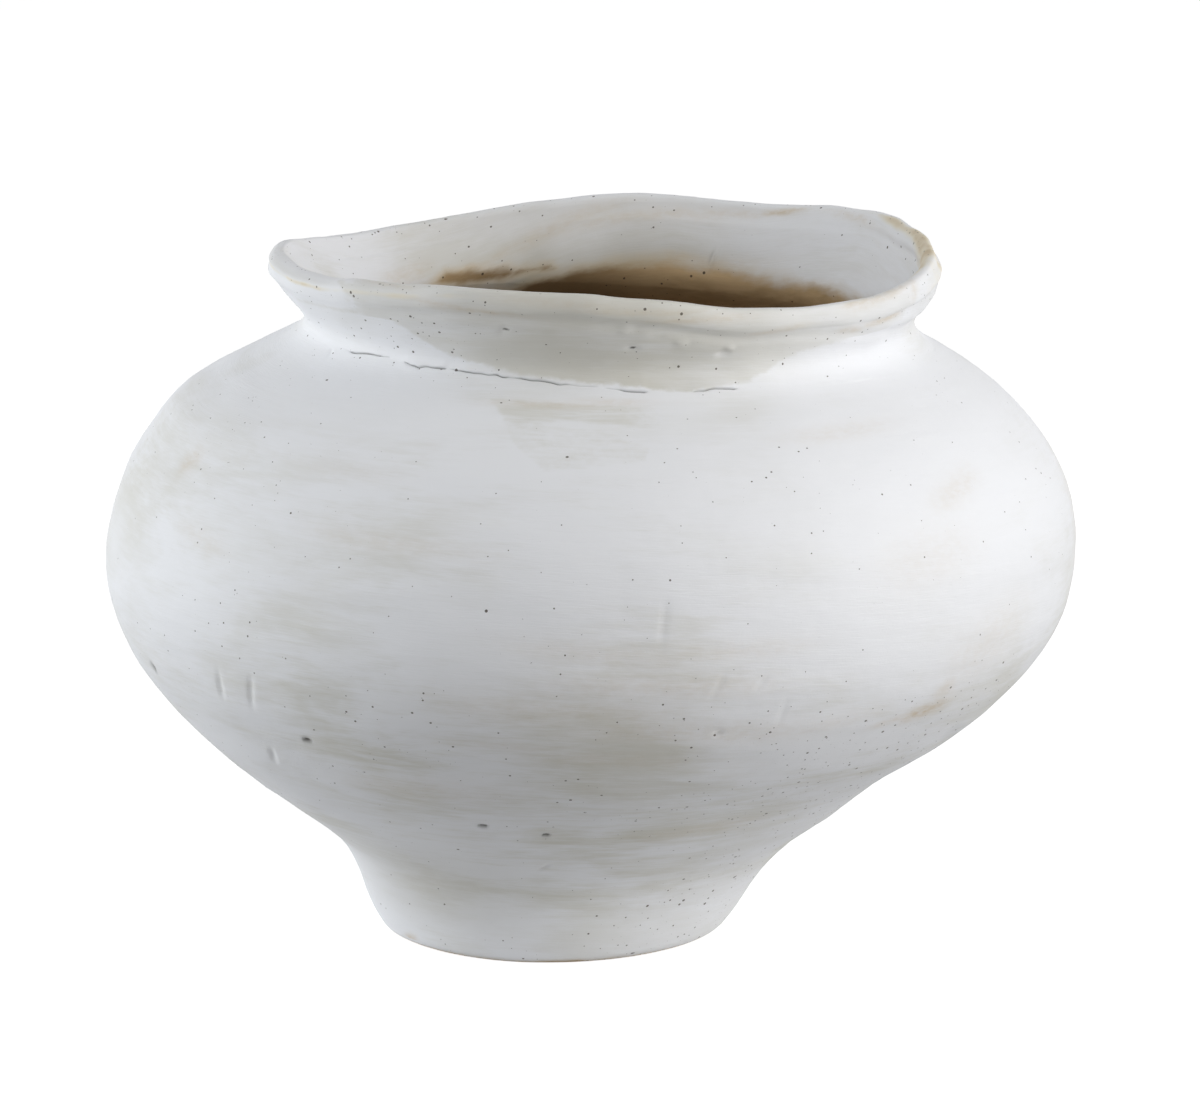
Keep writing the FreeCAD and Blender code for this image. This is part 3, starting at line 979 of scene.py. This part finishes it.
class Graph:
    """Adds nodes to a material or the world. Every method gives the new node's output."""

    def __init__(self, owner):
        owner.use_nodes = True
        self.tree = owner.node_tree
        self.tree.nodes.clear()

    def add(self, kind, inputs, output=0, **settings):
        """A node with its settings, and its inputs linked or set."""
        node = self.tree.nodes.new(kind)
        for key, value in settings.items():
            setattr(node, key, value)
        for key, value in inputs.items():
            if isinstance(value, bpy.types.NodeSocket):
                self.tree.links.new(value, node.inputs[key])
            else:
                node.inputs[key].default_value = value
        return node.outputs[output] if node.outputs else None

    def mask(self, name):
        return self.add("ShaderNodeAttribute", {}, "Fac", attribute_name=name)

    def vector(self, name):
        return self.add("ShaderNodeAttribute", {}, "Vector", attribute_name=name)

    def drawn(self, vector, share):
        """Makes what lies on the skin longer round the jar than along its profile."""
        return self.add("ShaderNodeVectorMath", {0: vector, 1: (1, 1, share)}, operation="MULTIPLY")

    def noise(self, vector, scale, detail=2.0, roughness=0.5, distortion=0.0):
        inputs = {"Vector": vector, "Scale": scale, "Detail": detail, "Roughness": roughness}
        inputs["Distortion"] = distortion
        return self.add("ShaderNodeTexNoise", inputs, "Fac")

    def dots(self, vector, scale, size):
        cells = self.add("ShaderNodeTexVoronoi", {"Vector": vector, "Scale": scale}, "Distance")
        return self.calc("LESS_THAN", cells, size)

    def calc(self, operation, a, b):
        return self.add("ShaderNodeMath", {0: a, 1: b}, operation=operation)

    def plus(self, a, b):
        return self.calc("ADD", a, b)

    def times(self, a, b):
        return self.calc("MULTIPLY", a, b)

    def fade(self, value, low, high, out_low=0.0, out_high=1.0):
        inputs = {"Value": value, "From Min": low, "From Max": high}
        inputs |= {"To Min": out_low, "To Max": out_high}
        return self.add("ShaderNodeMapRange", inputs, interpolation_type="SMOOTHSTEP")

    def blend(self, share, a, b):
        return self.add("ShaderNodeMix", {0: share, 6: a, 7: b}, 2, data_type="RGBA")


def slipped_stoneware():
    """Matte white slip brushed over brown speckled clay, which shows where the slip is thin or gone."""
    material = bpy.data.materials.new("slipped_stoneware")
    g = Graph(material)
    flow = g.vector("flow")

    # Brush streaks run round the jar: long across, short along the profile.
    wide = g.noise(g.drawn(flow, 3.2), 13, 4, 0.58, 0.4)
    streak = g.noise(g.drawn(flow, 9), 34, 3, 0.6, 0.2)
    hair = g.noise(g.drawn(flow, 16), 110, 2, 0.6)
    cloud = g.noise(flow, 9, 3, 0.5)
    brushed = g.plus(g.times(wide, 0.62), g.times(streak, 0.24))
    brushed = g.plus(brushed, g.times(hair, 0.14))
    thin = g.fade(g.plus(brushed, g.times(cloud, 0.55)), 0.68, 0.98)
    colour = g.blend(g.times(thin, g.mask("thin")), THICK_SLIP, THIN_SLIP)

    # The wash on the collar and the brushed patch on the shoulder have crisp edges.
    ragged = g.times(g.calc("SUBTRACT", g.noise(flow, 160, 3, 0.6), 0.5), 5.0)
    wash = g.fade(g.plus(g.mask("wash"), ragged), -1.0, 2.0)
    wash = g.times(wash, g.fade(brushed, 0.25, 0.55, 0.45))
    colour = g.blend(g.times(wash, g.mask("wash_share")), colour, WASH_SLIP)
    patch = g.fade(g.plus(g.mask("patch"), g.times(ragged, 0.6)), -1.0, 2.0)
    patch = g.times(patch, g.fade(streak, 0.3, 0.62, 0.35))
    colour = g.blend(g.times(patch, 0.55), colour, THIN_SLIP)

    # The veil: a thinner grey slip, with painted shade deeper in the collar, on the lip's bevel and low
    # on the foot's left.
    colour = g.blend(g.mask("veil_with_shade"), colour, VEIL_AND_SHADE_GREY)

    # Tan clay grins through stains and worn edges.
    bite = g.fade(g.noise(g.drawn(flow, 2), 190, 3, 0.65), 0.3, 0.7, 0.45)
    colour = g.blend(g.times(g.mask("stain"), bite), colour, TAN_CLAY)
    patchy = g.fade(g.noise(flow, 70, 2, 0.5), 0.3, 0.7, 0.55)
    worn = g.times(g.mask("worn"), patchy)
    bared = g.blend(g.fade(worn, 0.3, 1.1), CREAM, TAN_CLAY)
    colour = g.blend(g.fade(worn, 0.1, 0.6, 0.0, 0.95), colour, bared)
    rust = g.fade(g.plus(g.mask("stain"), g.noise(flow, 120, 2)), 1.3, 1.6)
    colour = g.blend(g.times(rust, 0.5), colour, RUST)

    # Bare clay inside and under the foot.
    tone = g.fade(g.noise(g.drawn(flow, 3), 30, 4, 0.6), 0.3, 0.7)
    clay = g.blend(tone, BROWN_CLAY, DARK_CLAY)
    # Painted shade darkens the bare clay on the mouth's far wall.
    clay = g.blend(g.mask("far_shade"), clay, SHADED_CLAY)
    edge = g.calc("SUBTRACT", g.noise(g.drawn(flow, 2.5), 50, 4, 0.6), 0.5)
    bare = g.plus(g.mask("bare"), g.times(edge, 10.0))
    colour = g.blend(g.fade(bare, -5.0, 4.0, 0.0, 0.55), colour, TAN_CLAY)
    colour = g.blend(g.fade(bare, -0.5, 6.0), colour, clay)

    # Iron specks of several sizes.
    thick = g.mask("specks")
    speck = g.dots(flow, 130, g.fade(thick, 0.0, 1.0, 0.035, 0.1))
    small = g.dots(flow, 215, g.fade(thick, 0.2, 1.0, 0.02, 0.11))
    big = g.dots(flow, 34, 0.026)
    dust = g.dots(flow, 330, g.fade(thick, 0.4, 1.0, 0.02, 0.09))
    for dots, share in ((dust, 0.35), (small, 0.75), (speck, 0.85), (big, 0.9)):
        colour = g.blend(g.times(dots, share), colour, SPECK)
    colour = g.blend(g.mask("crack"), colour, CRACK_DARK)

    grain = g.noise(flow, 900, 2, 0.6)
    height = g.plus(g.times(hair, 0.5), g.times(streak, 0.8))
    height = g.plus(height, g.times(grain, 0.18))
    height = g.calc("SUBTRACT", height, g.times(speck, 0.25))
    bump = g.add("ShaderNodeBump", {"Strength": 0.28, "Distance": 0.0006, "Height": height}, "Normal")
    rough = g.fade(bare, -2.0, 4.0, 0.62, 0.85)
    looks = {"Base Color": colour, "Roughness": rough, "Normal": bump, "Specular IOR Level": 0.35}
    g.add("ShaderNodeOutputMaterial", {"Surface": g.add("ShaderNodeBsdfPrincipled", looks)})
    return material


STONEWARE = slipped_stoneware()


# Pieces


def put(name, data):
    """A new object in the scene."""
    made = bpy.data.objects.new(name, data)
    bpy.context.scene.collection.objects.link(made)
    return made


def cap(ring):
    """Faces that close a ring of points, as one strip across it."""
    near, far = ring[: TURNS // 2], ring[::-1][: TURNS // 2]
    return np.stack([near[:-1], near[1:], far[1:], far[:-1]], 1)


def piece(node, points, loops, normals, values, flow, capped=False):
    """One closed mesh, with its masks, that stands for a node. Each pair of rows in loops is bridged."""
    name = node + "_clay"
    count = points.shape[0]
    index = np.arange(count * TURNS).reshape(count, TURNS)
    faces = [cap(index[0, ::-1]), cap(index[-1])] if capped else []
    for first, second in loops:
        low, high = index[first], index[second]
        faces.append(np.stack([low, np.roll(low, -1), np.roll(high, -1), high], 1))
    faces = np.concatenate(faces)
    mesh = bpy.data.meshes.new(name)
    mesh.vertices.add(count * TURNS)
    mesh.vertices.foreach_set("co", (points * MM).ravel().astype(np.float32))
    mesh.loops.add(faces.size)
    mesh.loops.foreach_set("vertex_index", faces.ravel().astype(np.int32))
    mesh.polygons.add(len(faces))
    mesh.polygons.foreach_set("loop_start", np.arange(0, faces.size, 4, dtype=np.int32))
    mesh.polygons.foreach_set("loop_total", np.full(len(faces), 4, dtype=np.int32))
    mesh.update(calc_edges=True)
    mesh.validate()
    mesh.polygons.foreach_set("use_smooth", np.ones(len(mesh.polygons), bool))
    for key, value in values.items():
        layer = mesh.attributes.new(key, "FLOAT", "POINT")
        layer.data.foreach_set("value", value.ravel().astype(np.float32))
    layer = mesh.attributes.new("flow", "FLOAT_VECTOR", "POINT")
    layer.data.foreach_set("vector", (flow * MM).ravel().astype(np.float32))
    mesh.normals_split_custom_set_from_vertices(normals.reshape(-1, 3).astype(np.float32))
    mesh.materials.append(STONEWARE)
    made = put(name, mesh)
    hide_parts(node)
    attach(made, "root")


def from_chain(node, names):
    """A piece whose skin is some sections of the chain, closed between one section and the next."""
    picked = []
    for section in names:
        start, stop = SPAN[section]
        picked += [row for row in range(start, stop + 1) if row not in picked[-1:]]
    loops = [(row, row + 1) for row in range(len(picked) - 1)]
    to_middle = picked[0] == 0
    if not to_middle:
        loops.append((len(picked) - 1, 0))
    values = {key: value[picked] for key, value in MASKS.items()}
    piece(node, SKIN[picked], loops, NORMALS[picked], values, FLOW[picked], to_middle)


# The pieces cut from the chain: node and sections.
PIECES = (
    ("foot_ring", ("hollow", "flat", "edge", "ring_side")),
    ("base_dish", ("under", "dish_side", "cove", "floor")),
    ("stem_wall", ("stem_side", "stem_in")),
    ("lower_bowl", ("lower_side", "lower_in")),
    ("upper_bowl", ("upper_side", "upper_in")),
    ("collar", ("collar_side", "collar_in")),
    ("lip_coil", ("lip",)),
)
for piece_node, piece_sections in PIECES:
    from_chain(piece_node, piece_sections)

# The seam coil's own finish: how deep in bare clay it is, its specks, and where its flow starts.
COIL_FINISH = {"bare": 40.0, "specks": 0.5}
COIL_FLOW_START = 900


def seam_coil():
    """The pressed coil over the seam inside the belly."""
    front, back = coil_rings()
    points = np.concatenate([front, back[::-1]])
    rows = len(points)
    loops = [(row + 1, row) for row in range(rows - 1)] + [(0, rows - 1)]
    flow = flow_of(points, COIL_FLOW_START - points[..., 2])
    normals = unit(flow * (-1, -1, 0))
    values = {key: np.full(flow.shape[:2], COIL_FINISH.get(key, 0.0)) for key in MASKS}
    piece("seam_coil", points, loops, normals, values, flow)


seam_coil()


# Floor, light and camera

FLOOR_SIZE = 12.0
FLOOR_GREY = 0.40
FLOOR_GREY_NEAR = 0.70
FLOOR_NEAR = (0.11, 0.20)
FLOOR_GLOW = 0.86

SEEING_RAYS = ("Is Camera Ray", "Is Glossy Ray", "Is Transmission Ray")
WHITE = (1, 1, 1, 1)
WORLD_STRENGTH = 0.328

# Lamps: name, place, size, power and colour. They all face one point.
LAMPS = (
    ("key", (1.85, -1.0, 0.86), 1.4, 32, (1.0, 0.998, 0.99)),
    ("fill", (-2.0, -0.15, 0.5), 1.4, 30.5, (0.95, 0.98, 1.0)),
    ("top", (1.0, -0.7, 2.1), 1.2, 3.8, (1.0, 1.0, 1.0)),
)
LAMP_AIM = Vector((0.015, 0.0, 0.18))


def shown_as(g, seen, lit):
    """Mixes two shaders: camera, mirror and glass rays see the first and light meets the second."""
    direct, mirrored, through = (g.add("ShaderNodeLightPath", {}, rays) for rays in SEEING_RAYS)
    either = g.calc("MAXIMUM", direct, g.calc("MAXIMUM", mirrored, through))
    return g.add("ShaderNodeMixShader", {0: either, 1: lit, 2: seen})


def floor():
    """A pale floor that looks white and keeps the jar's shadow."""
    mesh = bpy.data.meshes.new("floor")
    half = FLOOR_SIZE / 2
    corners = [(-half, -half, 0), (half, -half, 0), (half, half, 0), (-half, half, 0)]
    mesh.from_pydata(corners, [], [(0, 1, 2, 3)])
    material = bpy.data.materials.new("floor")
    g = Graph(material)
    spot = g.add("ShaderNodeTexCoord", {}, "Object")
    away = g.add("ShaderNodeVectorMath", {0: spot}, "Value", operation="LENGTH")
    inputs = {"Value": away, "From Min": FLOOR_NEAR[0], "From Max": FLOOR_NEAR[1]}
    inputs |= {"To Min": FLOOR_GREY_NEAR, "To Max": FLOOR_GREY}
    grey = g.add("ShaderNodeBsdfDiffuse", {"Color": g.add("ShaderNodeMapRange", inputs)})
    glow = g.add("ShaderNodeEmission", {"Strength": FLOOR_GLOW})
    both = g.add("ShaderNodeAddShader", {0: grey, 1: glow})
    g.add("ShaderNodeOutputMaterial", {"Surface": shown_as(g, both, grey)})
    mesh.materials.append(material)
    made = put("floor", mesh)
    made.location.z = CAD_BOX[0].z


def surroundings():
    """Soft light from all round, with a white background where the camera looks."""
    world = bpy.data.worlds.new("surroundings")
    g = Graph(world)
    white = g.add("ShaderNodeBackground", {"Color": WHITE})
    soft = g.add("ShaderNodeBackground", {"Color": WHITE, "Strength": WORLD_STRENGTH})
    g.add("ShaderNodeOutputWorld", {"Surface": shown_as(g, white, soft)})
    bpy.context.scene.world = world


def softbox(name, place, size, power, colour):
    """A square lamp that faces the jar."""
    lamp = bpy.data.lights.new(name, "AREA")
    lamp.size, lamp.energy, lamp.color = size, power, colour
    made = put(name, lamp)
    made.location = place
    made.rotation_euler = (Vector(place) - LAMP_AIM).to_track_quat("Z", "Y").to_euler()


floor()
surroundings()
for lamp_settings in LAMPS:
    softbox(*lamp_settings)


def camera():
    """The camera at the photograph's place."""
    data = bpy.data.cameras.new("camera")
    data.sensor_fit = "HORIZONTAL"
    data.sensor_width = SENSOR_WIDTH
    data.lens = FOCAL_PIXELS / PHOTO_WIDTH * SENSOR_WIDTH
    made = put("camera", data)
    made.location = CAMERA_PLACE * MM
    made.rotation_euler = (math.radians(90 - CAMERA_PITCH_DEG), 0, 0)
    bpy.context.scene.camera = made


camera()
bpy.context.scene.view_settings.view_transform = "Standard"
